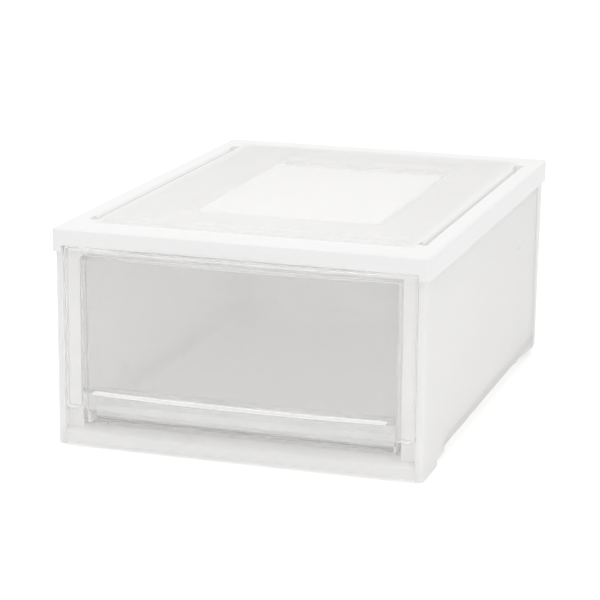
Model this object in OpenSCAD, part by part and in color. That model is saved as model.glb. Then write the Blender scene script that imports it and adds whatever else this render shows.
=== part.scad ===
// Stackable drawer box: a white casing of snap-together panels with one frosted drawer.
// Millimetres, +Z up, front towards -Y. Origin: centre of the footprint, on the floor.

/* [Overall size] */
// Width over the top cover
case_w = 400; // [340:5:480]
// Depth from the bowed drawer front to the back of the cover
case_d = 560; // [465:5:675]
// Height from the stacking keels to the ridges on the cover
case_h = 233; // [193:5:283]

/* [Casing walls] */
// Wall of the white casing panels
wall = 2.4; // [2:0.1:2.8]
// How far the cover stands out past the body on each side
cover_overhang = 3; // [2.6:0.1:4]
// Radius of the cover's upright front corners
cover_corner_r = 5; // [3:0.5:9]
// Radius of the cover's upright rear corners
cover_rear_r = 9; // [5:0.5:11]
// Radius of the cover's top edge
cover_edge_r = 1.5; // [0.8:0.1:1.9]
// Radius of the body's upright front corners
body_corner_r = 4; // [3:0.5:6]
// How far the back wall leans forward at its foot
back_lean = 10; // [4:1:16]
// Depth of the back panel's side returns
back_return = 36; // [24:1:44]

/* [Top cover] */
// Depth of the side and back skirts
side_skirt = 24; // [18:1:30]
// Depth of the front skirt above the drawer
front_skirt = 17; // [12:1:22]
// Wall of the skirts
skirt_wall = 2.2; // [1.8:0.1:2.4]
// Height of the fine ridges along the front
ridge_h = 1; // [0.4:0.1:1.4]
// Width of a ridge at its foot
ridge_w = 3.2; // [2:0.2:5]
// Width of a ridge's flat top
ridge_top_w = 1.4; // [0.4:0.2:1.6]
// Number of ridges
ridge_count = 3; // [1:1:3]
// Distance from the cover's front to the first ridge
ridge_start = 37; // [20:1:45]
// Distance between ridges
ridge_pitch = 19; // [12:1:23]
// Distance from the cover's side to a ridge's end
ridge_margin = 35; // [33:1:60]
// Width of the sunken tray
tray_w = 244; // [180:2:280]
// Distance from the cover's front to the tray
tray_front = 128; // [100:1:140]
// Distance from the tray to the cover's back
tray_back = 57; // [50:1:90]
// Drop from the top to the tray's ledge
tray_drop = 7; // [4:0.5:8]
// Width of the ledge along the tray's front and back
tray_ledge = 9; // [5:1:16]
// Drop from the ledge to the tray's floor
tray_step = 2; // [1:0.5:3]
// Width of the curved slope that leads down into the tray on all sides
tray_slope_w = 28; // [22:1:40]
// Part of that slope's width that is rounded outwards, below the top
tray_slope_round = 0.65; // [0.4:0.05:0.8]

/* [Stacking] */
// Distance from the cover's side to a groove's middle
groove_inset = 23; // [21:1:26]
// Width of a groove at its mouth
groove_w = 9; // [8:0.5:11]
// Depth of a groove
groove_depth = 7; // [5:0.5:9]
// Width of the chamfer along each side of a groove
groove_chamfer_w = 2; // [0.5:0.1:2.2]
// Depth of that chamfer
groove_chamfer_h = 2.5; // [1:0.5:4]
// Length of the wider pocket at each end of a groove
groove_pocket = 17; // [10:1:24]
// Distance from the cover's front to a groove's end
groove_front = 56; // [45:1:65]
// Distance from a groove's end to the cover's back
groove_back = 49; // [40:1:60]
// Play between a keel and the groove that it drops into
keel_play = 0.5; // [0.3:0.1:1]
// How far the keels stand below the front feet
keel_drop = 2; // [2:0.5:4]

/* [Front opening] */
// Width of each front stile
stile_w = 8; // [7:0.5:10]
// Depth of the rebate that the drawer front sits in
rebate = 8; // [7:0.5:10]
// Width of the rebate's flange
flange_w = 17; // [15:0.5:20]
// Height of the front rail's upright face
rail_face = 11; // [9:0.5:14]
// Relief under the rail between the corner feet
rail_relief = 2; // [1:0.5:3]
// Depth of the rail's sloped top
rail_slope_d = 12; // [9:0.5:14]
// Rise of the rail's sloped top
rail_slope_h = 7.5; // [5:0.5:9]

/* [Side panels] */
// Length of the front foot
foot_len = 57; // [40:1:65]
// Length of the step behind the front foot
foot_step_len = 30; // [20:1:36]
// Rise of the step behind the front foot
foot_step_h = 6; // [4:0.5:8]
// Rise of the side wall's lower edge between the feet
sill_rise = 12.5; // [10:0.5:14]
// Distance from the rib on the side wall to the back panel's seam
rib_gap = 85; // [60:1:110]
// Width of the rib
rib_w = 27; // [16:1:32]
// Height that the rib stands proud
rib_proud = 2; // [1:0.1:2.2]
// Height of the rib's top
rib_top = 151; // [120:1:170]
// Width of the second rib, in front of the back panel's seam
seam_rib_w = 7; // [4:0.5:9]
// Height that the second rib stands proud
seam_rib_proud = 1.2; // [0.6:0.1:1.8]

/* [Drawer] */
// Wall of the clear drawer mouldings
drawer_wall = 2; // [1.8:0.1:2.4]
// Outward bow of the drawer front
front_bow = 9.6; // [6:0.2:12]
// How much of the bow is lost at the lip's lower edge
lip_tuck = 3.6; // [1:0.2:5]
// Height that the lip's upper edge stands proud at its ends
lip_end = 1.2; // [0.4:0.1:2]
// Outward bow of the sunken pane
pane_bow = 7; // [3:0.2:8]
// Depth of the sunken pane at its ends
pane_set = 6; // [5:0.5:7]
// Margin of the drawer front above the pane
top_margin = 10; // [8:0.5:14]
// Height of the pull lip
lip_h = 18; // [14:0.5:22]
// Height of the finger gap between rail and lip
finger_gap = 19; // [16:0.5:23]
// Depth of the finger pocket behind the pane
pocket_d = 16; // [12:0.5:22]
// Radius of the drawer front's corners
front_r = 4; // [3:0.5:8]
// Radius of the sunken pane's corners
pane_r = 4; // [3:0.5:8]
// Lean of the tub's side walls over their height
tub_draft = 2; // [1:0.2:3]
// Radius of the tub's lower edges
tub_r = 6; // [4:0.5:10]
// Distance from the tub's rear wall to the back panel's foot
tub_rear_space = 20; // [14:1:40]
// How far the drawer pulls out before its lugs meet the stops
travel = 370; // [200:5:375]

/* [Clearances] */
// Seam round the drawer front
seam = 1; // [0.6:0.1:1.4]
// Running gap between drawer and runners
run_gap = 0.3; // [0.2:0.1:0.5]
// Side play between tub and guides
side_play = 1; // [0.6:0.1:1.4]
// Gap between two drawer mouldings that clip together
clip_gap = 0.2; // [0.1:0.1:0.3]

/* [Hidden] */

// Facets of round parts; every circle is exact
round_fn = 48;
// Facets of the long shallow bows
bow_fn = 720;
// A little more than nothing, for clean cuts
eps = 0.01;
// Longer than the whole box, for cuts that run right through
far = 2 * (case_w + case_d + case_h);

white = [0.94, 0.94, 0.95];
frosted = [0.86, 0.89, 0.91, 0.6];

// Depth planes, from front to back
lip_y = -case_d / 2;
cover_front_y = lip_y + front_bow - cover_overhang - 0.8;
cover_back_y = case_d / 2;
cover_d = cover_back_y - cover_front_y;
stile_y = cover_front_y + cover_overhang;
flange_y = stile_y + rebate;
border_y = lip_y + front_bow;
pane_y = border_y + pane_set;
pocket_y = pane_y + drawer_wall + pocket_d;
body_back_y = cover_back_y - cover_overhang;
back_foot_y = body_back_y - back_lean;
return_y = body_back_y - back_return;

// Widths, measured from the middle
cover_half = case_w / 2;
body_half = cover_half - cover_overhang;
inner_half = body_half - wall;
opening_half = body_half - stile_w;
flange_half = opening_half - flange_w;
groove_x = cover_half - groove_inset;
slot_w = groove_w - 2 * groove_chamfer_w;
keel_w = slot_w - 2 * keel_play;
pane_half = flange_half - 3;
front_half = opening_half - seam;

// Heights
deck_z = case_h - ridge_h;
roof_z = deck_z - wall;
side_skirt_z = deck_z - side_skirt;
front_skirt_z = deck_z - front_skirt;
foot_z = keel_drop;
rail_z = foot_z + rail_relief;
rail_edge_z = rail_z + rail_face;
rail_top_z = rail_edge_z + rail_slope_h;
sill_z = foot_z + sill_rise;
base_z = sill_z + 1;
base_top_z = base_z + wall;
runner_z = rail_top_z + 1;
tub_z = runner_z + run_gap;
lip_z = rail_top_z + finger_gap;
shelf_z = lip_z + lip_h;
front_top_z = front_skirt_z - seam;
pane_top_z = front_top_z - top_margin;
header_z = pane_top_z + drawer_wall + 1;
rim_z = header_z - 4;

// The tub: its outer half width at the floor and at the rim
tub_half_top = flange_half - side_play - 2.5;
tub_half_floor = tub_half_top - tub_draft;
tub_back_y = back_foot_y - wall - tub_rear_space;
rim_w = 2;
rim_drop = 5;

// Runner: guide web beside the tub and the stops that end the travel
guide_half = tub_half_top + side_play;
guide_h = 22;
ledge_w = 18;
lug_len = 8;
lug_h = 9;
lug_z = runner_z + guide_h + 4;
lug_reach = guide_half + wall + 6;
lug_y = tub_back_y - 14;
stop_y = lug_y - travel - run_gap;

// ---- Outlines ----

// Rectangle with exact round corners, from (x0, y0) to (x1, y1)
module rounded_rect(x0, y0, x1, y1, r) {
  translate([x0 + r, y0]) square([x1 - x0 - 2 * r, y1 - y0]);
  translate([x0, y0 + r]) square([x1 - x0, y1 - y0 - 2 * r]);
  for (x = [x0 + r, x1 - r], y = [y0 + r, y1 - r])
    translate([x, y]) circle(r = r, $fn = round_fn);
}

// Everything behind a bowed front: the bow bulges from y = 0 towards -Y between +-half,
// and a straight strip behind it reaches out to +-total_half
module bow_outline(half, bow, total_half, depth) {
  r = (half * half + bow * bow) / (2 * bow);
  intersection() {
    translate([0, r - bow]) circle(r = r, $fn = bow_fn);
    translate([-half, -bow - 1]) square([2 * half, bow + 2]);
  }
  translate([-total_half, 0]) square([2 * total_half, depth]);
}

// Draws its children along X from x0 to x1, with the outline's axes as Y and Z
module along_x(x0, x1) {
  translate([x0, 0, 0]) rotate([90, 0, 90]) linear_extrude(x1 - x0) children();
}

// Draws its children along Y from y0 to y1, with the outline's axes as X and Z
module along_y(y0, y1) {
  translate([0, y1, 0]) rotate([90, 0, 0]) linear_extrude(y1 - y0) children();
}

// Box from one corner to the other
module box(x0, y0, z0, x1, y1, z1) {
  translate([x0, y0, z0]) cube([x1 - x0, y1 - y0, z1 - z0]);
}

// ---- Top cover ----

tray_half = tray_w / 2;
tray_y0 = cover_front_y + tray_front;
tray_y1 = cover_back_y - tray_back;
tray_z = deck_z - tray_drop - tray_step;
groove_y0 = cover_front_y + groove_front;
groove_y1 = cover_back_y - groove_back;
groove_wall = 2;
pocket_grow = 0.5;

// Outline of a dished hollow below z = 0, reaching to +-half and grown outwards: each end slopes
// down over slope_w in two arcs that meet without an edge, to a flat floor at -drop
module dish_outline(half, slope_w, drop, grow) {
  angle = 2 * atan(drop / slope_w);
  both_r = slope_w / sin(angle);
  upper_r = both_r * tray_slope_round;
  lower_r = both_r - upper_r;
  flat_half = half - slope_w;
  meet = half - (upper_r - grow) * sin(angle);
  top = drop + grow + 1;
  translate([-flat_half, -drop - grow]) square([2 * flat_half, top]);
  for (side = [0, 1]) mirror([side, 0]) {
    intersection() {
      translate([flat_half, lower_r - drop]) circle(r = lower_r + grow, $fn = bow_fn);
      translate([flat_half - eps, -drop - grow]) square([meet - flat_half + 2 * eps, top]);
    }
    difference() {
      translate([meet, -drop - grow]) square([half - meet, top]);
      translate([half, -upper_r]) circle(r = upper_r - grow, $fn = bow_fn);
    }
  }
}

// Section of the tray's hollow across its width, down to the given depth and grown outwards
module tray_section(depth, grow) {
  intersection() {
    dish_outline(tray_half, tray_slope_w, tray_drop + tray_step, grow);
    translate([-far, -depth - grow]) square([2 * far, far]);
  }
}

// Hollow of the tray with its ledges at the front and back, grown outwards by the given wall
module tray_space(grow) {
  inset = tray_slope_w + tray_ledge - grow;
  translate([0, 0, deck_z]) {
    intersection() {
      along_y(tray_y0 - grow, tray_y1 + grow) tray_section(tray_drop, grow);
      along_x(-tray_half - grow, tray_half + grow)
        translate([(tray_y0 + tray_y1) / 2, 0])
          dish_outline((tray_y1 - tray_y0) / 2, tray_slope_w, tray_drop, grow);
    }
    along_y(tray_y0 + inset, tray_y1 - inset) tray_section(tray_drop + tray_step, grow);
  }
}

// Channel that hangs below the deck round one stacking groove
module groove_channel() {
  w = groove_w / 2 + pocket_grow + groove_wall;
  box(groove_x - w, groove_y0 - groove_wall, deck_z - groove_depth - groove_wall,
      groove_x + w, groove_y1 + groove_wall, roof_z + 1);
}

// Space of one groove: a slot between chamfers, with a wider pocket at each end
module groove_space() {
  w = groove_w / 2;
  slot = slot_w / 2;
  translate([groove_x, 0, deck_z]) {
    along_y(groove_y0, groove_y1)
      polygon([[-slot, -groove_depth], [slot, -groove_depth], [slot, -groove_chamfer_h], [w, 0],
               [w, 1], [-w, 1], [-w, 0], [-slot, -groove_chamfer_h]]);
    for (y = [groove_y0, groove_y1 - groove_pocket])
      box(-w - pocket_grow, y, -groove_depth, w + pocket_grow, y + groove_pocket, 1);
  }
}

// Plan of the cover, drawn in by the given inset
module cover_plan(inset) {
  x = cover_half - inset;
  intersection() {
    rounded_rect(-x, cover_front_y + inset, x, cover_back_y - inset, cover_corner_r - inset);
    rounded_rect(-x, -far, x, cover_back_y - inset, cover_rear_r - inset);
  }
}

// Upright outline between +-half whose upper corners are round
module round_top_outline(half) {
  translate([-half, side_skirt_z - 1]) square([2 * half, side_skirt + 1 - cover_edge_r]);
  translate([-half + cover_edge_r, side_skirt_z]) square([2 * (half - cover_edge_r), side_skirt]);
  for (x = [-1, 1])
    translate([x * (half - cover_edge_r), deck_z - cover_edge_r])
      circle(r = cover_edge_r, $fn = round_fn);
}

module cover_cap() {
  middle_y = (cover_front_y + cover_back_y) / 2;
  difference() {
    intersection() {
      translate([0, 0, side_skirt_z]) linear_extrude(side_skirt) cover_plan(0);
      along_y(-far, far) round_top_outline(cover_half);
      along_x(-far, far) translate([middle_y, 0]) round_top_outline(cover_d / 2);
    }
    translate([0, 0, side_skirt_z - 1]) linear_extrude(roof_z - side_skirt_z + 1)
      cover_plan(skirt_wall);
    box(-opening_half, cover_front_y - 1, side_skirt_z - 1,
        opening_half, cover_front_y + skirt_wall + 1, front_skirt_z);
  }
}

module cover_ridges() {
  for (i = [0 : ridge_count - 1])
    translate([0, cover_front_y + ridge_start + i * ridge_pitch, deck_z])
      along_x(ridge_margin - cover_half, cover_half - ridge_margin)
        polygon([[-ridge_w / 2, -0.2], [-ridge_w / 2, 0], [-ridge_top_w / 2, ridge_h],
                 [ridge_top_w / 2, ridge_h], [ridge_w / 2, 0], [ridge_w / 2, -0.2]]);
}

module top_cover() {
  color(white) difference() {
    union() {
      cover_cap();
      intersection() {
        tray_space(wall);
        translate([-far, -far, tray_z - 2 * wall]) cube([2 * far, 2 * far, deck_z - tray_z + 2 * wall]);
      }
      for (side = [0, 1]) mirror([side, 0, 0]) groove_channel();
      cover_ridges();
    }
    tray_space(0);
    for (side = [0, 1]) mirror([side, 0, 0]) groove_space();
  }
}

// ---- Side panels ----

// Lower edge of the side wall, from the front foot back to the seam
step_y = stile_y + foot_len;
arch_y = step_y + foot_step_len;
rib_y = return_y - rib_gap - rib_w;
tail_z = sill_z - 7;

module side_wall_outline() {
  polygon([
    [stile_y + body_corner_r, foot_z], [step_y, foot_z], [step_y, foot_z + foot_step_h],
    [arch_y, foot_z + foot_step_h], [arch_y, sill_z], [rib_y + rib_w, sill_z], [return_y, tail_z],
    [return_y, roof_z], [stile_y + body_corner_r, roof_z]
  ]);
}

// Plan of the front stile with its rebate and flange
module stile_plan() {
  intersection() {
    union() {
      translate([opening_half, stile_y]) square([stile_w, wall]);
      translate([opening_half, stile_y]) square([wall, rebate + wall]);
      translate([flange_half, flange_y]) square([flange_w + wall, wall]);
      difference() {
        translate([body_half - body_corner_r, stile_y]) square(body_corner_r + eps);
        translate([body_half - body_corner_r, stile_y + body_corner_r])
          circle(r = body_corner_r - wall, $fn = round_fn);
        translate([body_half - body_corner_r - 1, stile_y + body_corner_r])
          square([1 + body_corner_r - wall, 1]);
      }
    }
    union() {
      translate([0, stile_y]) square([body_half - body_corner_r, far]);
      translate([0, stile_y + body_corner_r]) square([body_half, far]);
      translate([body_half - body_corner_r, stile_y + body_corner_r])
        circle(r = body_corner_r, $fn = round_fn);
    }
  }
}

module side_panel() {
  along_x(inner_half, body_half) side_wall_outline();
  // Stile and flange, cut away where the rail and the header run through
  difference() {
    translate([0, 0, foot_z]) linear_extrude(roof_z - foot_z) stile_plan();
    along_x(0, opening_half)
      polygon([[stile_y - 1, foot_z - 1], [far, foot_z - 1], [far, rail_top_z],
               [stile_y + rail_slope_d, rail_top_z], [stile_y, rail_edge_z], [stile_y - 1, rail_edge_z]]);
    box(0, stile_y - 1, header_z, opening_half, far, roof_z + 1);
  }
  box(opening_half, stile_y + body_corner_r, foot_z, inner_half + eps, step_y, foot_z + wall);
  // Rib: a shallow wedge on the outer face
  translate([0, 0, sill_z]) linear_extrude(rib_top - sill_z)
    polygon([[inner_half + 1, rib_y], [body_half, rib_y], [body_half + rib_proud, rib_y + rib_w - 4],
             [body_half, rib_y + rib_w], [inner_half + 1, rib_y + rib_w]]);
  // Narrow second rib along the seam
  translate([0, 0, sill_z]) linear_extrude(rib_top - 8 - sill_z)
    polygon([[inner_half + 1, return_y - seam_rib_w], [body_half, return_y - seam_rib_w],
             [body_half + seam_rib_proud, return_y - 1], [body_half + seam_rib_proud, return_y],
             [inner_half + 1, return_y]]);
}

module right_side_panel() {
  color(white) side_panel();
}

module left_side_panel() {
  color(white) mirror([1, 0, 0]) side_panel();
}

// ---- Back panel ----

back_r = 10;

// Leaning block with round upright corners, drawn in by the given inset
module back_block(inset, z0, z1) {
  lean_at = function (z) back_lean * (roof_z - z) / roof_z;
  hull() {
    for (x = [-1, 1], z = [z0, z1])
      translate([x * (body_half - back_r), body_back_y - back_r - lean_at(z), z])
        cylinder(r = back_r - inset, h = eps, $fn = 32);
    box(-body_half + inset, return_y - 20, z0, body_half - inset, return_y, z1);
  }
}

// Strip along each return's front edge that marks the seam
seam_strip_w = 6;
seam_strip_proud = 0.5;

module back_panel() {
  color(white) difference() {
    back_block(0, tail_z, roof_z - eps);
    back_block(wall, tail_z - 1, roof_z + 1);
    box(-far, -far, -1, far, return_y, far);
  }
  color(white) for (side = [0, 1]) mirror([side, 0, 0])
    box(inner_half + 1, return_y, tail_z, body_half + seam_strip_proud, return_y + seam_strip_w,
        side_skirt_z - 4);
}

// ---- Base panel ----

keel_y0 = groove_y0 + 8;
keel_y1 = groove_y1 - 8;
base_y0 = stile_y + rail_slope_d + 6;
base_y1 = back_foot_y - wall - 2;
tie_w = 2;

module base_panel() {
  color(white) {
    difference() {
      translate([0, 0, base_z]) linear_extrude(wall) {
        translate([-inner_half, base_y0]) square([2 * inner_half, base_y1 - base_y0 - back_r]);
        rounded_rect(-inner_half, base_y0, inner_half, base_y1, back_r);
      }
      // Shallow coring under the plate
      for (i = [0 : 3])
        translate([0, base_y0 + 40 + i * (base_y1 - base_y0 - 80) / 4, base_z - 1])
          linear_extrude(1.8)
            rounded_rect(-groove_x + 16, 4, groove_x - 16, (base_y1 - base_y0 - 80) / 4 - 4, 8);
    }
    for (x = [-groove_x, groove_x])
      along_x(x - keel_w / 2, x + keel_w / 2)
        polygon([[keel_y0 + 4, 0], [keel_y1 - 4, 0], [keel_y1, 4], [keel_y1, base_z + 1],
                 [keel_y0, base_z + 1], [keel_y0, 4]]);
    for (y = [keel_y0 + 30, 0, keel_y1 - 30])
      box(-groove_x, y - tie_w / 2, base_z - 8, groove_x, y + tie_w / 2, base_z + 1);
  }
}

// ---- Front rail ----

web_w = 2;
web_count = 7;
web_pitch = 2 * (opening_half - 27) / (web_count - 1);

module front_rail() {
  color(white) {
    along_x(-opening_half, opening_half)
      polygon([[stile_y, rail_z], [stile_y + wall, rail_z], [stile_y + wall, rail_edge_z - 1],
               [stile_y + rail_slope_d, rail_top_z - wall], [base_y0 - wall, rail_top_z - wall],
               [base_y0 - wall, base_z], [base_y0, base_z], [base_y0, rail_top_z],
               [stile_y + rail_slope_d, rail_top_z], [stile_y, rail_edge_z]]);
    // Webs that stiffen the rail from inside
    for (i = [0 : web_count - 1])
      translate([(i - (web_count - 1) / 2) * web_pitch, 0, 0]) along_x(-web_w / 2, web_w / 2)
        polygon([[stile_y + 1, rail_z + 2], [base_y0 - 1, base_z + 1], [base_y0 - 1, rail_top_z - 1],
                 [stile_y + rail_slope_d, rail_top_z - 1], [stile_y + 1, rail_edge_z - 1]]);
  }
}

// ---- Front header ----

header_lip = 14;

module front_header() {
  color(white) {
    box(-opening_half, flange_y, header_z, opening_half, flange_y + wall, roof_z);
    box(-opening_half, flange_y, roof_z - wall, opening_half, flange_y + header_lip, roof_z);
    for (i = [0 : web_count - 1])
      translate([(i - (web_count - 1) / 2) * web_pitch, 0, 0]) along_x(-web_w / 2, web_w / 2)
        polygon([[flange_y + 1, header_z + 4], [flange_y + wall, header_z + 4],
                 [flange_y + header_lip, roof_z - wall], [flange_y + header_lip, roof_z - 1],
                 [flange_y + 1, roof_z - 1]]);
  }
}

// ---- Runners ----

runner_y0 = base_y0;
runner_y1 = base_y1 - back_r;
post_pitch = 58;
post_count = floor((runner_y1 - runner_y0 - 20) / post_pitch);

module runner() {
  ledge_x = guide_half - ledge_w;
  box(ledge_x, runner_y0, runner_z - wall, inner_half, runner_y1, runner_z);
  box(guide_half, runner_y0, runner_z - 1, guide_half + wall, runner_y1, runner_z + guide_h);
  // Posts down to the base
  for (i = [0 : post_count])
    box(ledge_x + 2, runner_y0 + 8 + i * post_pitch, base_top_z, inner_half,
        runner_y0 + 8 + i * post_pitch + wall, runner_z - 1);
  // Stop that a lug on the tub runs against
  box(guide_half, stop_y - 6, runner_z - 1, lug_reach, stop_y, lug_z + lug_h);
}

module right_runner() {
  color(white) runner();
}

module left_runner() {
  color(white) mirror([1, 0, 0]) runner();
}

// ---- Drawer tub ----

// Section of the tub across its width, drawn in by the given inset
module tub_section(inset, top_z) {
  floor_half = tub_half_floor - inset;
  top_half = floor_half + tub_draft;
  r = tub_r - inset;
  intersection() {
    polygon([[-floor_half, tub_z + inset], [floor_half, tub_z + inset],
             [top_half, rim_z], [top_half, top_z], [-top_half, top_z], [-top_half, rim_z]]);
    union() {
      translate([-far, tub_z + inset + r]) square([2 * far, far]);
      translate([-floor_half + r, tub_z + inset]) square([2 * (floor_half - r), r + 1]);
      for (x = [-1, 1])
        translate([x * (floor_half - r), tub_z + inset + r]) circle(r = r, $fn = round_fn);
    }
  }
}

// What lies behind the sunken pane, in plan
module behind_pane(offset_y) {
  translate([0, pane_y + offset_y]) bow_outline(pane_half, pane_bow, far, 2 * far);
}

module drawer_tub() {
  tub_front_y = pane_y + drawer_wall + clip_gap;
  color(frosted) difference() {
    union() {
      along_y(tub_front_y, tub_back_y) tub_section(0, rim_z);
      // Turned-out rim and the lugs that meet the stops
      box(-tub_half_top - rim_w, tub_back_y - 1, rim_z - drawer_wall,
          tub_half_top + rim_w, tub_back_y + rim_w, rim_z);
      for (side = [0, 1]) mirror([side, 0, 0]) {
        box(tub_half_top - 1, tub_front_y, rim_z - drawer_wall, tub_half_top + rim_w, tub_back_y, rim_z);
        box(tub_half_top + rim_w - 1.2, tub_front_y, rim_z - rim_drop,
            tub_half_top + rim_w, tub_back_y + rim_w, rim_z);
        box(tub_half_floor - 1, lug_y, lug_z, lug_reach - 1, lug_y + lug_len, lug_z + lug_h);
      }
    }
    along_y(tub_front_y - 1, tub_back_y - drawer_wall) tub_section(drawer_wall, rim_z + 1);
    // The floor stops at the finger pocket
    box(-tub_half_floor + drawer_wall + 1, tub_front_y - 1, tub_z - 1,
        tub_half_floor - drawer_wall - 1, pocket_y - drawer_wall, tub_z + drawer_wall + eps);
  }
}

// ---- Drawer front ----

pocket_half = tub_half_floor - drawer_wall - clip_gap - 1;

edge_back_y = flange_y - run_gap;
bow_depth = 3;
lip_facets = 24;

// Slab over the whole drawer front, with round corners seen from the front
module edge_slab(inset, y0, y1) {
  along_y(y0, y1)
    rounded_rect(-front_half + inset, lip_z + inset, front_half - inset, front_top_z - inset,
                 front_r - inset);
}

// Bowed part of the front, drawn in by the given inset, between two heights
module bow_band(inset, z0, z1) {
  translate([0, border_y + inset, z0]) linear_extrude(z1 - z0)
    bow_outline(pane_half, front_bow, pane_half, bow_depth);
}

// Outline of the lip: a shallow bow whose ends stand the given amount proud
module lip_outline(bow, end) {
  sag = bow - end;
  r = (pane_half * pane_half + sag * sag) / (2 * sag);
  polygon(concat(
    [for (i = [0 : lip_facets]) let (x = pane_half * (2 * i / lip_facets - 1))
      [x, r - bow - sqrt(r * r - x * x)]],
    [[pane_half, bow_depth], [-pane_half, bow_depth]]
  ));
}

// Pull lip: its face slopes back to a shallower bow at the lower edge
module lip_solid(inset, below, above) {
  low_bow = front_bow - lip_tuck;
  low_z = lip_z;
  high_z = shelf_z - drawer_wall;
  translate([0, border_y + inset, 0]) {
    hull() {
      translate([0, 0, low_z]) linear_extrude(eps) lip_outline(low_bow, 0);
      translate([0, 0, high_z - eps]) linear_extrude(eps) lip_outline(front_bow, lip_end);
    }
    if (below > 0)
      translate([0, 0, low_z - below]) linear_extrude(below) lip_outline(low_bow, 0);
    if (above > 0)
      translate([0, 0, high_z]) linear_extrude(above) lip_outline(front_bow, lip_end);
  }
}

module front_solid() {
  edge_slab(0, border_y, edge_back_y);
  bow_band(0, pane_top_z - pane_r, front_top_z);
  lip_solid(0, 0, drawer_wall);
}

module front_hollow() {
  w = drawer_wall;
  edge_slab(w, border_y + w, 0);
  bow_band(w, pane_top_z + w, front_top_z - w);
  lip_solid(w, 1, 0);
  box(-pane_half, border_y + w, lip_z - 1, pane_half, 0, shelf_z - w);
}

// The pane with the four walls that lead forward to the border, and the pocket's end walls
module pane_box() {
  w = drawer_wall;
  difference() {
    along_y(border_y + 1, pane_y + w)
      rounded_rect(-pane_half - w, shelf_z - w, pane_half + w, pane_top_z + w, pane_r + w);
    translate([0, 0, lip_z]) linear_extrude(case_h) behind_pane(w);
  }
  for (side = [0, 1]) mirror([side, 0, 0])
    box(pane_half, border_y + 1, lip_z + 1, pane_half + w, pane_y + w, shelf_z + pane_r + w);
}

// Hollow in front of the sunken pane
module pane_recess() {
  difference() {
    along_y(lip_y - 10, pane_y + 1) rounded_rect(-pane_half, shelf_z, pane_half, pane_top_z, pane_r);
    translate([0, 0, lip_z]) linear_extrude(case_h) behind_pane(0);
  }
}

// Ceiling and back wall of the finger pocket
module finger_pocket() {
  w = drawer_wall;
  translate([0, 0, shelf_z - w]) linear_extrude(w) intersection() {
    behind_pane(w / 2);
    translate([-pocket_half, -far]) square([2 * pocket_half, far + pocket_y]);
  }
  along_y(pocket_y - w, pocket_y)
    rounded_rect(-pocket_half, tub_z + w, pocket_half, shelf_z, tub_r - w);
}

module drawer_front() {
  color(frosted) difference() {
    union() {
      difference() {
        front_solid();
        front_hollow();
      }
      pane_box();
      finger_pocket();
    }
    pane_recess();
  }
}

top_cover();
left_side_panel();
right_side_panel();
back_panel();
base_panel();
front_rail();
front_header();
left_runner();
right_runner();
drawer_tub();
drawer_front();
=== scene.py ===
"""Looks of the stackable drawer box: white casing, frosted drawer and a pale studio.

Sizes and places are in metres, in the CAD frame: X to the right, Y to the back, Z up.
"""

import logging
import math
from dataclasses import dataclass, replace
from enum import Enum
from typing import TypeAlias

import bpy
from mathutils import Matrix, Vector


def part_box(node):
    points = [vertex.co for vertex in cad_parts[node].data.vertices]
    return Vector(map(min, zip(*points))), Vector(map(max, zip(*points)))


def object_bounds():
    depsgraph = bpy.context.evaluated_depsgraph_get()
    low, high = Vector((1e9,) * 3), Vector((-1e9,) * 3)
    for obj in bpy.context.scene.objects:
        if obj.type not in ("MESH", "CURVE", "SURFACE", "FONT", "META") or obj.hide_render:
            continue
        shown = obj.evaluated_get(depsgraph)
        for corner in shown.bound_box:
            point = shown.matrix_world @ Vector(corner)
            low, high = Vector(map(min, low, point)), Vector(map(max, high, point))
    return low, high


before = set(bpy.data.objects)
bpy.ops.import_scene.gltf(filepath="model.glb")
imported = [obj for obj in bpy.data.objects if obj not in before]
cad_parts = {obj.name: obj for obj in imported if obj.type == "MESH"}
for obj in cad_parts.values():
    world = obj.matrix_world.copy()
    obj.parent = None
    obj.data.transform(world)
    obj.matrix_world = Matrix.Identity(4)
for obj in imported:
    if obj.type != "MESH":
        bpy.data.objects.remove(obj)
cad_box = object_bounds()

log = logging.getLogger("drawer_box")

MM = 0.001
PHOTO_SIZE = 600
SENSOR_MM = 36.0
PURE_WHITE = (1.0, 1.0, 1.0, 1.0)
PLASTIC_IOR = 1.49
WHITE_SPECULAR = 0.4
CLOUD_LAYERS = 3.0
GRAIN_LAYERS = 1.0
NOISE_ROUGHNESS = 0.55
NOISE_MIDDLE = 0.5
# Sockets of a Mix node that blends colours.
MIX_FACTOR, MIX_FIRST, MIX_SECOND, MIX_RESULT = 0, 6, 7, 2

Colour: TypeAlias = tuple[float, float, float]
Operand: TypeAlias = "Value | float"
Settings: TypeAlias = dict[str, object]
Inputs: TypeAlias = dict[str | int, object]


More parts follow.
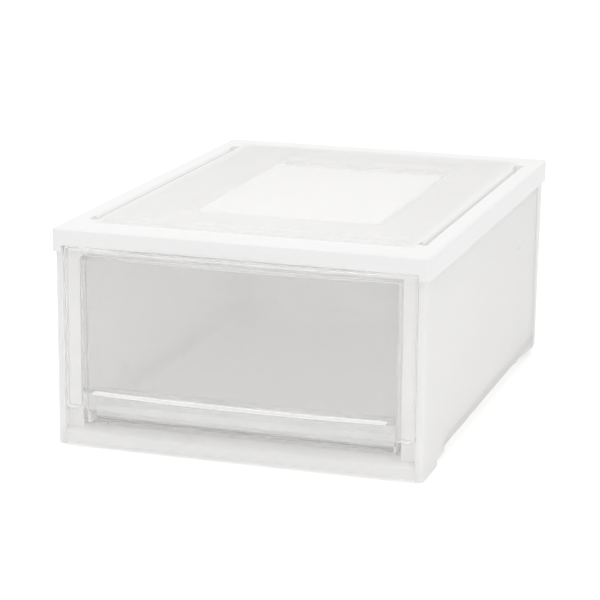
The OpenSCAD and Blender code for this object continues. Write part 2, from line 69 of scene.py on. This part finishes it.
class Value:
    """A node's output that takes part in Python arithmetic."""

    def __init__(self, graph: "Graph", socket: bpy.types.NodeSocket) -> None:
        """Keep the socket and the graph that it belongs to."""
        self.graph = graph
        self.socket = socket

    def _math(self, operation: str, *terms: Operand) -> "Value":
        """Add one Math node.

        Args:
            operation: The node's operation.
            terms: Its inputs, in order.

        Returns:
            The node's result.
        """
        inputs = dict(enumerate(terms))
        return self.graph.value("ShaderNodeMath", {"operation": operation}, inputs)

    def __add__(self, other: Operand) -> "Value":
        """Sum."""
        return self._math("ADD", self, other)

    def __radd__(self, other: Operand) -> "Value":
        """Sum with a number on the left."""
        return self._math("ADD", other, self)

    def __sub__(self, other: Operand) -> "Value":
        """Difference."""
        return self._math("SUBTRACT", self, other)

    def __rsub__(self, other: Operand) -> "Value":
        """Difference with a number on the left."""
        return self._math("SUBTRACT", other, self)

    def __mul__(self, other: Operand) -> "Value":
        """Product."""
        return self._math("MULTIPLY", self, other)

    def __rmul__(self, other: Operand) -> "Value":
        """Product with a number on the left."""
        return self._math("MULTIPLY", other, self)

    def __abs__(self) -> "Value":
        """Size without its sign."""
        return self._math("ABSOLUTE", self)

    def swing(self, amount: float) -> "Value":
        """Turn noise into a change of up to half the amount either way."""
        return amount * (self - NOISE_MIDDLE)

    def below(self, limit: float, soft: float) -> "Value":
        """Fade from 1 under the limit to 0 over it.

        Args:
            limit: Where the fade is half way.
            soft: Width of the fade.

        Returns:
            The mask.
        """
        inputs = {
            "Value": self,
            "From Min": limit - soft / 2,
            "From Max": limit + soft / 2,
            "To Min": 1.0,
            "To Max": 0.0,
        }
        return self.graph.value("ShaderNodeMapRange", {"interpolation_type": "SMOOTHSTEP"}, inputs)


class Graph:
    """The nodes of one material or of the world."""

    def __init__(self, tree: bpy.types.NodeTree) -> None:
        """Start with an empty tree."""
        self.tree = tree
        tree.nodes.clear()

    def node(
        self, kind: str, settings: Settings | None = None, inputs: Inputs | None = None
    ) -> bpy.types.Node:
        """Add a node.

        Args:
            kind: The node's type.
            settings: Its properties, set before the inputs.
            inputs: Values or links by socket name or number.

        Returns:
            The new node.
        """
        made = self.tree.nodes.new(kind)
        for name, setting in (settings or {}).items():
            setattr(made, name, setting)
        for key, given in (inputs or {}).items():
            target = made.inputs[key]
            if isinstance(given, Value):
                self.tree.links.new(given.socket, target)
            else:
                target.default_value = given
        return made

    def value(
        self,
        kind: str,
        settings: Settings | None = None,
        inputs: Inputs | None = None,
        output: int | str = 0,
    ) -> Value:
        """Add a node and wrap one of its outputs.

        Args:
            kind: The node's type.
            settings: Its properties, set before the inputs.
            inputs: Values or links by socket name or number.
            output: Name or number of the output that is wanted.

        Returns:
            That output.
        """
        return Value(self, self.node(kind, settings, inputs).outputs[output])

    def mix(self, factor: Operand, first: "Value | Colour", second: "Value | Colour") -> Value:
        """Blend two colours.

        Args:
            factor: 0 for the first colour, 1 for the second.
            first: One colour.
            second: The other colour.

        Returns:
            The blended colour.
        """

        def colour(given: "Value | Colour") -> "Value | tuple[float, ...]":
            """Give a plain colour its alpha."""
            return given if isinstance(given, Value) else (*given, 1.0)

        inputs = {MIX_FACTOR: factor, MIX_FIRST: colour(first), MIX_SECOND: colour(second)}
        return self.value("ShaderNodeMix", {"data_type": "RGBA"}, inputs, MIX_RESULT)

    def object_point(self) -> Value:
        """Position on the object, in metres."""
        return self.value("ShaderNodeTexCoord", output="Object")

    def axes(self) -> tuple[Value, ...]:
        """Position on the object along X, Y and Z, in metres."""
        place = self.node("ShaderNodeSeparateXYZ", None, {0: self.object_point()})
        return tuple(Value(self, place.outputs[name]) for name in "XYZ")

    def noise(self, size: float, layers: float) -> Value:
        """Smooth noise over the object.

        Args:
            size: Size of a patch in metres.
            layers: Number of finer layers.

        Returns:
            The noise, from 0 to 1.
        """
        settings = {"noise_dimensions": "3D", "normalize": True}
        inputs = {
            "Vector": self.object_point(),
            "Scale": 1.0 / size,
            "Detail": layers,
            "Roughness": NOISE_ROUGHNESS,
        }
        return self.value("ShaderNodeTexNoise", settings, inputs)

    def bump(self, height: Value, depth: float, strength: float) -> Value:
        """Turn a height into a normal.

        Args:
            height: The height, from 0 to 1.
            depth: What a height of 1 stands for, in metres.
            strength: How much of it shows.

        Returns:
            The normal.
        """
        inputs = {"Height": height, "Distance": depth, "Strength": strength}
        return self.value("ShaderNodeBump", None, inputs)

    def blend(self, factor: Operand, first: Value, second: Value) -> Value:
        """Blend two shaders.

        Args:
            factor: 0 for the first shader, 1 for the second.
            first: One shader.
            second: The other shader.

        Returns:
            The blended shader.
        """
        return self.value("ShaderNodeMixShader", None, {0: factor, 1: first, 2: second})

    def plastic(self, inputs: Inputs, glow_through: Operand = 0.0) -> Value:
        """Build a plastic shader.

        Args:
            inputs: Values or links for the Principled shader.
            glow_through: Share of the light that passes the surface and scatters behind it.

        Returns:
            The shader.
        """
        shader = self.value("ShaderNodeBsdfPrincipled", None, inputs)
        if isinstance(glow_through, float) and glow_through == 0.0:
            return shader
        glow = self.value("ShaderNodeBsdfTranslucent", None, {"Color": inputs["Base Color"]})
        return self.blend(glow_through, shader, glow)

    def finish(self, shader: Value) -> None:
        """Send a shader to the material's output."""
        self.node("ShaderNodeOutputMaterial", None, {"Surface": shader})


def new_material(name: str) -> tuple[bpy.types.Material, Graph]:
    """Start a material without nodes.

    Args:
        name: The material's name.

    Returns:
        The material and the graph of its nodes.
    """
    made = bpy.data.materials.new(name)
    made.use_nodes = True
    return made, Graph(made.node_tree)


def shade(tint: Colour, share: float, lightest: float = 1.0) -> Colour:
    """Make a colour darker or lighter.

    Args:
        tint: The colour.
        share: What each channel is multiplied by.
        lightest: The most that a channel may come to.

    Returns:
        The changed colour.
    """
    return tuple(min(lightest, share * channel) for channel in tint)


@dataclass(frozen=True)
class MouldedWhite:
    """White moulded plastic with a fine grain, thin enough to let some light through."""

    name: str
    tint: Colour = (0.960, 0.958, 0.955)
    cloud_shade: float = 0.985
    roughness: float = 0.42
    cloud_roughness: float = 0.10
    grain_roughness: float = 0.08
    glow_through: float = 0.35
    cloud: float = 60 * MM
    grain: float = 0.9 * MM
    grain_depth: float = 0.03 * MM
    grain_strength: float = 0.5

    def material(self) -> bpy.types.Material:
        """Build the material.

        Returns:
            A material that any panel of the casing can take, apart from the cover.
        """
        made, graph = new_material(self.name)
        cloud = graph.noise(self.cloud, CLOUD_LAYERS)
        grain = graph.noise(self.grain, GRAIN_LAYERS)
        uneven = cloud.swing(self.cloud_roughness)
        graph.finish(graph.plastic({
            "Base Color": graph.mix(cloud, shade(self.tint, self.cloud_shade), self.tint),
            "Roughness": self.roughness + uneven + grain.swing(self.grain_roughness),
            "IOR": PLASTIC_IOR,
            "Specular IOR Level": WHITE_SPECULAR,
            "Normal": graph.bump(grain, self.grain_depth, self.grain_strength),
        }, self.glow_through))
        return made


@dataclass(frozen=True)
class Patch:
    """A rectangle seen from above, centred across the box."""

    half: float
    front: float
    back: float

    def mask(self, across: Value, along: Value, side_fade: float, end_fade: float) -> Value:
        """Fade from 1 inside the rectangle to 0 outside.

        Args:
            across: Position along X.
            along: Position along Y.
            side_fade: Width of the fade at the sides.
            end_fade: Width of the fade at the front and back.

        Returns:
            The mask.
        """
        middle, reach = (self.front + self.back) / 2, (self.back - self.front) / 2
        sides = abs(across).below(self.half, side_fade)
        return sides * abs(along - middle).below(reach, end_fade)


@dataclass(frozen=True)
class TrayWhite:
    """White plastic of the cover: grained deck and a smoother, glossier tray floor.

    It lets light through only over the hollow inside; the rim round that is opaque. The rim has a
    painted shade, a darker tint than the deck, and the tray floor a painted light, a lighter tint.
    """

    name: str
    tray: Patch
    tray_top: float
    hollow: Patch
    tint: Colour = (0.960, 0.958, 0.955)
    # Painted shade: the rim gets a darker tint than the deck, though it is the same plastic.
    rim_painted_shade_tint: Colour = (0.880, 0.878, 0.875)
    cloud_shade: float = 0.985
    # Painted light: the tray floor gets a lighter tint than the deck, up to tray_lightest.
    tray_painted_light: float = 1.02
    tray_lightest: float = 0.99
    roughness: float = 0.44
    cloud_roughness: float = 0.08
    glow_through: float = 0.45
    tray_glow: float = 0.35
    tray_roughness: float = 0.24
    tray_gloss: float = 0.8
    tray_gloss_roughness: float = 0.12
    tray_polish: float = 0.8
    tray_side_fade: float = 4 * MM
    tray_end_fade: float = 1 * MM
    hollow_fade: float = 20 * MM
    cloud: float = 60 * MM
    grain: float = 0.9 * MM
    grain_depth: float = 0.03 * MM
    grain_strength: float = 0.5

    def material(self) -> bpy.types.Material:
        """Build the material.

        Returns:
            A material for the top cover only.
        """
        made, graph = new_material(self.name)
        across, along, height = graph.axes()
        inside = self.tray.mask(across, along, self.tray_side_fade, self.tray_end_fade)
        inside = inside * height.below(self.tray_top, self.tray_end_fade)
        over = self.hollow.mask(across, along, self.hollow_fade, self.hollow_fade)
        cloud = graph.noise(self.cloud, CLOUD_LAYERS)
        grain = graph.noise(self.grain, GRAIN_LAYERS) * (1.0 - self.tray_polish * inside)
        deck_tint = graph.mix(cloud, shade(self.tint, self.cloud_shade), self.tint)
        # Painted light: a lighter copy of the deck tint for the tray floor.
        painted_light_tray_tint = shade(self.tint, self.tray_painted_light, self.tray_lightest)
        smooth = (self.tray_roughness - self.roughness) * inside
        glow = self.glow_through + (self.tray_glow - self.glow_through) * inside
        graph.finish(graph.plastic({
            # Painted shade on the rim and painted light on the tray floor are mixed into the base
            # colour.
            "Base Color": graph.mix(over, self.rim_painted_shade_tint, graph.mix(inside, deck_tint, painted_light_tray_tint)),
            "Roughness": self.roughness + smooth + cloud.swing(self.cloud_roughness),
            "IOR": PLASTIC_IOR,
            "Specular IOR Level": WHITE_SPECULAR,
            "Coat Weight": self.tray_gloss * inside,
            "Coat Roughness": self.tray_gloss_roughness,
            "Normal": graph.bump(grain, self.grain_depth, self.grain_strength),
        }, over * glow))
        return made


@dataclass(frozen=True)
class PaintedLightBand:
    """A part of a frosted moulding painted opaque white as painted light, by its place in the CAD
    frame.

    It reaches from low to high along Z, as far as back along Y, and half_width to either
    side. Its share is how much of the painted white shows, from 0 to 1.
    """

    low: float
    high: float
    back: float
    share: float
    half_width: float = 300 * MM
    fade: float = 0.4 * MM

    def mask(self, graph: Graph) -> Value:
        """Fade from the band's share inside it to 0 outside.

        Args:
            graph: The material's nodes.

        Returns:
            The mask.
        """
        across, along, height = graph.axes()
        middle, reach = (self.low + self.high) / 2, (self.high - self.low) / 2
        level = abs(height - middle).below(reach, self.fade)
        sides = abs(across).below(self.half_width, self.fade)
        return self.share * level * along.below(self.back, self.fade) * sides


@dataclass(frozen=True)
class FrostedClear:
    """Translucent milky plastic: a haze of its own, and a blurred view of what lies behind."""

    name: str
    painted_light_bands: tuple[PaintedLightBand, ...]
    tint: Colour = (0.982, 0.980, 0.978)
    cloud_shade: float = 0.990
    haze: float = 0.16
    glow_through: float = 0.08
    roughness: float = 0.12
    cloud_roughness: float = 0.06
    grain_roughness: float = 0.05
    cloud: float = 45 * MM
    grain: float = 1.6 * MM
    grain_depth: float = 0.04 * MM
    grain_strength: float = 0.15
    # Painted light: the opaque white that the bands lay over the frost.
    painted_light_tint: Colour = (0.980, 0.980, 0.975)
    painted_light_roughness: float = 0.25

    def material(self) -> bpy.types.Material:
        """Build the material.

        Returns:
            A material for a frosted moulding.
        """
        made, graph = new_material(self.name)
        cloud = graph.noise(self.cloud, CLOUD_LAYERS)
        grain = graph.noise(self.grain, GRAIN_LAYERS)
        uneven = cloud.swing(self.cloud_roughness)
        frost = graph.plastic({
            "Base Color": graph.mix(cloud, shade(self.tint, self.cloud_shade), self.tint),
            "Roughness": self.roughness + uneven + grain.swing(self.grain_roughness),
            "IOR": PLASTIC_IOR,
            "Transmission Weight": 1.0 - self.haze,
            "Normal": graph.bump(grain, self.grain_depth, self.grain_strength),
        }, self.glow_through)
        # Painted light: each band blends opaque white over the frost where the moulding should
        # look brighter.
        for band in self.painted_light_bands:
            painted_white = graph.plastic({
                "Base Color": (*self.painted_light_tint, 1.0),
                "Roughness": self.painted_light_roughness,
                "IOR": PLASTIC_IOR,
            })
            frost = graph.blend(band.mask(graph), frost, painted_white)
        graph.finish(frost)
        return made


class Edge(Enum):
    """How far a moulding's edges are rounded, in metres."""

    FINE = 0.4 * MM
    SOFT = 0.8 * MM


@dataclass
class Moulding:
    """One moulded piece that keeps its CAD shape: it gets a finish and rounded edges."""

    node: str
    finish: MouldedWhite | TrayWhite | FrostedClear
    edge: Edge
    segments: int = 2
    join_gap: float = 0.002 * MM
    flat_degrees: float = 0.4
    sharp_degrees: float = 35.0
    flat_weight: int = 90

    def round_edges(self, target: bpy.types.Object) -> None:
        """Join the faces, then round every sharp edge.

        Args:
            target: The object that gets the modifiers.
        """
        weld = target.modifiers.new("join_faces", "WELD")
        weld.merge_threshold = self.join_gap
        flat = target.modifiers.new("merge_flats", "DECIMATE")
        flat.decimate_type = "DISSOLVE"
        flat.angle_limit = math.radians(self.flat_degrees)
        bevel = target.modifiers.new("round_edges", "BEVEL")
        bevel.width = self.edge.value
        bevel.segments = self.segments
        bevel.limit_method = "ANGLE"
        bevel.angle_limit = math.radians(self.sharp_degrees)
        bevel.harden_normals = True
        normals = target.modifiers.new("even_normals", "WEIGHTED_NORMAL")
        normals.keep_sharp = False
        normals.weight = self.flat_weight
        for face in target.data.polygons:
            face.use_smooth = True

    def dress(self) -> None:
        """Give the node its finish and edges."""
        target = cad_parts[self.node]
        target.data.materials.clear()
        target.data.materials.append(self.finish.material())
        self.round_edges(target)


@dataclass
class Casing:
    """The white casing: cover, walls, base, rail, header and runners."""

    wall_finish: MouldedWhite = MouldedWhite("casing_white", glow_through=0.42)
    rear_finish: MouldedWhite = MouldedWhite("rear_white", glow_through=0.25)
    # Painted light: the inner panels get a lighter tint than the outer walls of the same plastic,
    # which brightens the inside.
    inner_painted_light_finish: MouldedWhite = MouldedWhite(
        "inner_white", tint=(0.985, 0.983, 0.980), roughness=0.48, glow_through=0.50
    )
    cover_edge: Edge = Edge.SOFT
    cover_segments: int = 3
    wall_edge: Edge = Edge.SOFT
    inner_edge: Edge = Edge.FINE
    tray_half: float = 106 * MM
    tray_from_front: float = 165 * MM
    tray_from_back: float = 94 * MM
    tray_below_top: float = 7 * MM
    rim_side: float = 35 * MM
    rim_front: float = 45 * MM
    rim_back: float = 35 * MM

    def cover_finish(self) -> TrayWhite:
        """Place the sunken tray and the hollow under the cover.

        Returns:
            The cover's finish.
        """
        low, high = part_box("top_cover")
        tray = Patch(self.tray_half, low[1] + self.tray_from_front, high[1] - self.tray_from_back)
        hollow = Patch(high[0] - self.rim_side, low[1] + self.rim_front, high[1] - self.rim_back)
        return TrayWhite("cover_white", tray, high[2] - self.tray_below_top, hollow)

    def build(self) -> list[Moulding]:
        """Dress every panel of the casing.

        Returns:
            The panels, in the order they were dressed.
        """
        header_finish = replace(self.inner_painted_light_finish, name="header_white", glow_through=0.0)
        panels = [Moulding("top_cover", self.cover_finish(), self.cover_edge, self.cover_segments)]
        for node in ("left_side_panel", "right_side_panel", "front_rail"):
            panels.append(Moulding(node, self.wall_finish, self.wall_edge))
        panels.append(Moulding("back_panel", self.rear_finish, self.wall_edge))
        for node in ("base_panel", "left_runner", "right_runner"):
            panels.append(Moulding(node, self.inner_painted_light_finish, self.inner_edge))
        panels.append(Moulding("front_header", header_finish, self.inner_edge))
        for panel in panels:
            panel.dress()
        return panels


@dataclass
class Drawer:
    """The frosted drawer: tub and bowed front."""

    # Painted shade: the front gets a darker tint than the tub, though both are the same frosted
    # plastic.
    front_painted_shade_tint: Colour = (0.950, 0.949, 0.948)
    front_edge: Edge = Edge.SOFT
    front_segments: int = 3
    tub_edge: Edge = Edge.FINE
    # Painted light: a painted highlight along the shelf, and painted brightening of the finger
    # pocket and the tub floor.
    shelf_highlight: PaintedLightBand = PaintedLightBand(
        low=58.6 * MM, high=60.4 * MM, back=-262 * MM, share=0.85, half_width=158 * MM
    )
    pocket_painted_light: PaintedLightBand = PaintedLightBand(low=29 * MM, high=41 * MM, back=-240 * MM, share=0.35)
    tub_floor_painted_light: PaintedLightBand = PaintedLightBand(low=0.0, high=33 * MM, back=300 * MM, share=0.35)

    def build(self) -> list[Moulding]:
        """Dress both drawer mouldings.

        Returns:
            The tub and the front.
        """
        tub = FrostedClear("tub_frosted", (self.tub_floor_painted_light,))
        front = FrostedClear("front_frosted", (self.shelf_highlight, self.pocket_painted_light), self.front_painted_shade_tint)
        halves = [
            Moulding("drawer_tub", tub, self.tub_edge),
            Moulding("drawer_front", front, self.front_edge, self.front_segments),
        ]
        for half in halves:
            half.dress()
        return halves


@dataclass(frozen=True)
class Softbox:
    """A square soft lamp that points at the box."""

    name: str
    place: tuple[float, float, float]
    size: float
    watts: float

    def build(self, aim: Vector) -> None:
        """Add the lamp.

        Args:
            aim: The point that it looks at.
        """
        data = bpy.data.lights.new(self.name, "AREA")
        data.size = self.size
        data.energy = self.watts
        lamp = bpy.data.objects.new(self.name, data)
        lamp.location = self.place
        lamp.rotation_euler = (aim - Vector(self.place)).to_track_quat("-Z", "Y").to_euler()
        bpy.context.scene.collection.objects.link(lamp)


@dataclass
class Studio:
    """Floor, pale surroundings, lamps and camera.

    The camera's angles are in degrees, its place in millimetres of the CAD frame, and its
    focal length and picture centre in pixels of the photograph.
    """

    lamps: tuple[Softbox, ...] = (
        Softbox("top_lamp", place=(-0.3, -0.3, 2.4), size=1.8, watts=12.0),
        Softbox("front_lamp", place=(0.2, -3.0, 0.35), size=1.6, watts=3.6),
        Softbox("right_lamp", place=(2.9, -1.5, 1.0), size=1.6, watts=6.5),
    )
    sky_strength: float = 0.84
    bounces: int = 24
    most_bounces: int = 48
    floor_half: float = 6.0
    floor_tint: float = 0.93
    floor_roughness: float = 0.9
    floor_glow: float = 0.30
    yaw: float = -17.66
    pitch: float = 14.28
    roll: float = 0.557
    eye_mm: tuple[float, float, float] = (720.3, -2304.8, 723.6)
    focal_px: float = 2219.3
    centre_px: tuple[float, float] = (305.5, 299.1)

    def seen(self, graph: Graph) -> Value:
        """Tell what is looked at from what only gives light.

        Args:
            graph: The nodes of the floor or the world.

        Returns:
            1 where the camera, a reflection or a clear wall looks, 0 for the light itself.
        """
        path = graph.node("ShaderNodeLightPath")
        camera, glossy, clear = (
            Value(graph, path.outputs[name])
            for name in ("Is Camera Ray", "Is Glossy Ray", "Is Transmission Ray")
        )
        return camera + glossy + clear

    def surroundings(self) -> None:
        """Light everything evenly, and show white behind the box."""
        world = bpy.data.worlds.new("pale_room")
        bpy.context.scene.world = world
        world.use_nodes = True
        graph = Graph(world.node_tree)
        strength = self.sky_strength + (1.0 - self.sky_strength) * self.seen(graph)
        inputs = {"Color": PURE_WHITE, "Strength": strength}
        glow = graph.value("ShaderNodeBackground", None, inputs)
        graph.node("ShaderNodeOutputWorld", None, {"Surface": glow})

    def depth_of_light(self) -> None:
        """Let light bounce often enough to fill the pale inside of the box.

        The filter for blurred reflections is off, because it darkens what lies behind
        frosted plastic.
        """
        paths = bpy.context.scene.cycles
        paths.blur_glossy = 0.0
        paths.diffuse_bounces = self.bounces
        paths.glossy_bounces = self.bounces
        paths.transmission_bounces = self.most_bounces
        paths.max_bounces = self.most_bounces

    def floor(self) -> None:
        """Lay a plain pale floor under the box."""
        half = self.floor_half
        corners = [(-half, -half, 0), (half, -half, 0), (half, half, 0), (-half, half, 0)]
        mesh = bpy.data.meshes.new("floor")
        mesh.from_pydata(corners, [], [(0, 1, 2, 3)])
        plane = bpy.data.objects.new("floor", mesh)
        bpy.context.scene.collection.objects.link(plane)
        made, graph = new_material("floor_pale")
        graph.finish(graph.plastic({
            "Base Color": (self.floor_tint, self.floor_tint, self.floor_tint, 1.0),
            "Roughness": self.floor_roughness,
            "Specular IOR Level": 0.0,
            "Emission Color": PURE_WHITE,
            "Emission Strength": self.floor_glow * self.seen(graph),
        }))
        mesh.materials.append(made)

    def camera(self) -> None:
        """Set the camera at the photograph's viewing angle."""
        data = bpy.data.cameras.new("camera")
        data.sensor_width = SENSOR_MM
        data.lens = self.focal_px / PHOTO_SIZE * SENSOR_MM
        data.shift_x = (PHOTO_SIZE / 2 - self.centre_px[0]) / PHOTO_SIZE
        data.shift_y = (self.centre_px[1] - PHOTO_SIZE / 2) / PHOTO_SIZE
        yaw, pitch, roll = (math.radians(a) for a in (self.yaw, self.pitch, self.roll))
        level = math.cos(pitch)
        look = Vector((math.sin(yaw) * level, math.cos(yaw) * level, -math.sin(pitch)))
        side = Vector((math.cos(yaw), -math.sin(yaw), 0.0))
        rise = side.cross(look)
        right = side * math.cos(roll) + rise * math.sin(roll)
        up = rise * math.cos(roll) - side * math.sin(roll)
        turn = Matrix((right, up, -look)).transposed().to_4x4()
        eye = bpy.data.objects.new("camera", data)
        eye.matrix_world = Matrix.Translation(Vector(self.eye_mm) * MM) @ turn
        bpy.context.scene.collection.objects.link(eye)
        bpy.context.scene.camera = eye

    def build(self) -> None:
        """Set up the whole studio."""
        low, high = cad_box
        aim = (Vector(low) + Vector(high)) / 2
        self.camera()
        self.surroundings()
        self.depth_of_light()
        self.floor()
        for lamp in self.lamps:
            lamp.build(aim)
        bpy.context.scene.view_settings.view_transform = "Standard"


def main() -> None:
    """Build the studio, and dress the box."""
    logging.basicConfig(level=logging.INFO, format="%(name)s: %(message)s")
    Studio().build()
    log.info("studio ready")
    for part in (Casing(), Drawer()):
        for piece in part.build():
            edge_mm = piece.edge.value / MM
            log.info("%s: %s, edges %.1f mm", piece.node, piece.finish.name, edge_mm)


if __name__ == "__main__":
    main()
